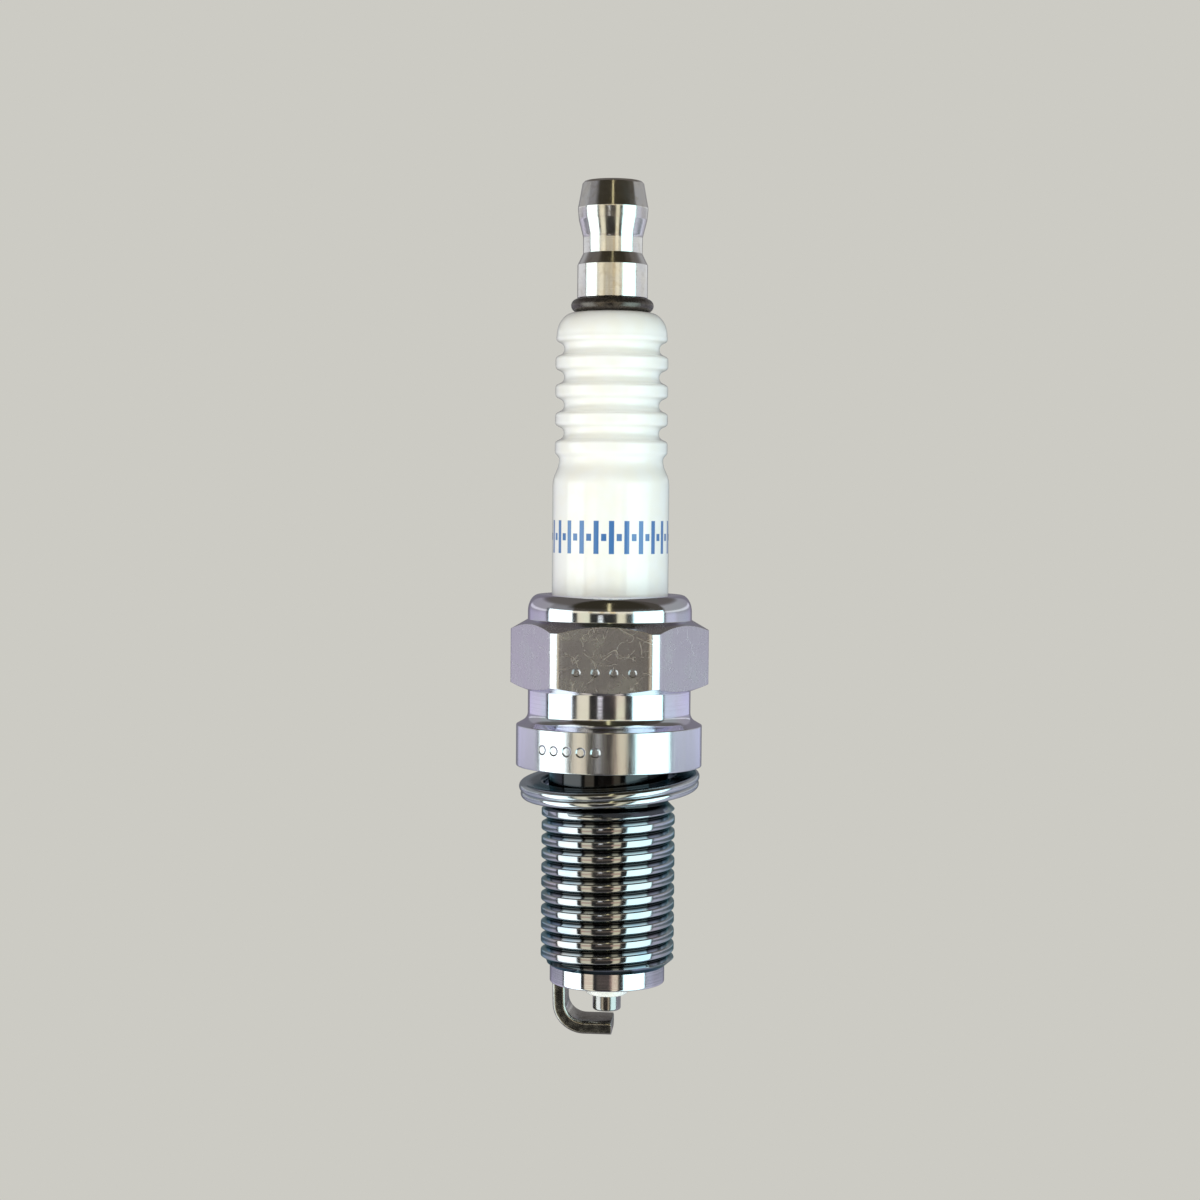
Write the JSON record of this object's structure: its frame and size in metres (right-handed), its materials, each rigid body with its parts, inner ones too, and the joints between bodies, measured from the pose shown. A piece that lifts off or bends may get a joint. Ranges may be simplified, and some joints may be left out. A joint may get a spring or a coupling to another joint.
{
  "type": "spark plug",
  "caption": "Resistor spark plug: ribbed white insulator in a plated steel shell with hexagon, flange, gasket and thread, a removable terminal nut and a bent ground electrode.",
  "frame": {"origin": "centre of the flat shoulder under the flange, where the gasket seals, on the plug axis", "axes": "+Z along the plug axis towards the terminal; -Z into the engine; -Y towards the spanner flat that faces the viewer; the ground electrode is welded on the -X side"},
  "size_m": [0.0174, 0.0164, 0.0752],
  "materials": {
    "zinc_plated_steel": "bright zinc plating with a violet and cyan sheen",
    "heat_tinted_nickel": "satin, darkened by welding heat",
    "glazed_ceramic": "gloss glaze over the exposed head",
    "mild_steel": "plain",
    "packing_wire": "plain wire",
    "pressed_talc": "matte powder",
    "nickel_alloy": "bright turned",
    "copper": "plain",
    "conductive_glass": "opaque, dark",
    "resistor_ceramic": "matte",
    "oxidised_steel": "dark oxide, semi-gloss",
    "nickel_plated_brass": "bright nickel plating",
    "plated_soft_steel": "bright plating"
  },
  "bodies": {
    "plug_body": {"metal_shell": "zinc_plated_steel", "ground_electrode": "heat_tinted_nickel", "insulator": "glazed_ceramic", "insulator_seat_washer": "mild_steel", "lower_packing_ring": "packing_wire", "talc_packing": "pressed_talc", "upper_packing_ring": "packing_wire", "centre_electrode": "nickel_alloy", "centre_electrode_core": "copper", "lower_glass_seal": "conductive_glass", "resistor": "resistor_ceramic", "upper_glass_seal": "conductive_glass", "terminal_stud": "oxidised_steel"},
    "terminal_nut": {"terminal_nut": "nickel_plated_brass"},
    "gasket": {"gasket": "plated_soft_steel"}
  },
  "joints": [
    {"name": "terminal_nut_removal", "type": "slide", "parent": "plug_body", "child": "terminal_nut", "axis": [0, 0, 1], "range_m": [0, 0.01]},
    {"name": "gasket_seating", "type": "hinge", "parent": "plug_body", "child": "gasket", "pos_m": [0.00518, 0.00556, 0], "axis": [-0.7314, 0.682, 0], "range_deg": [0, 5.2]}
  ]
}
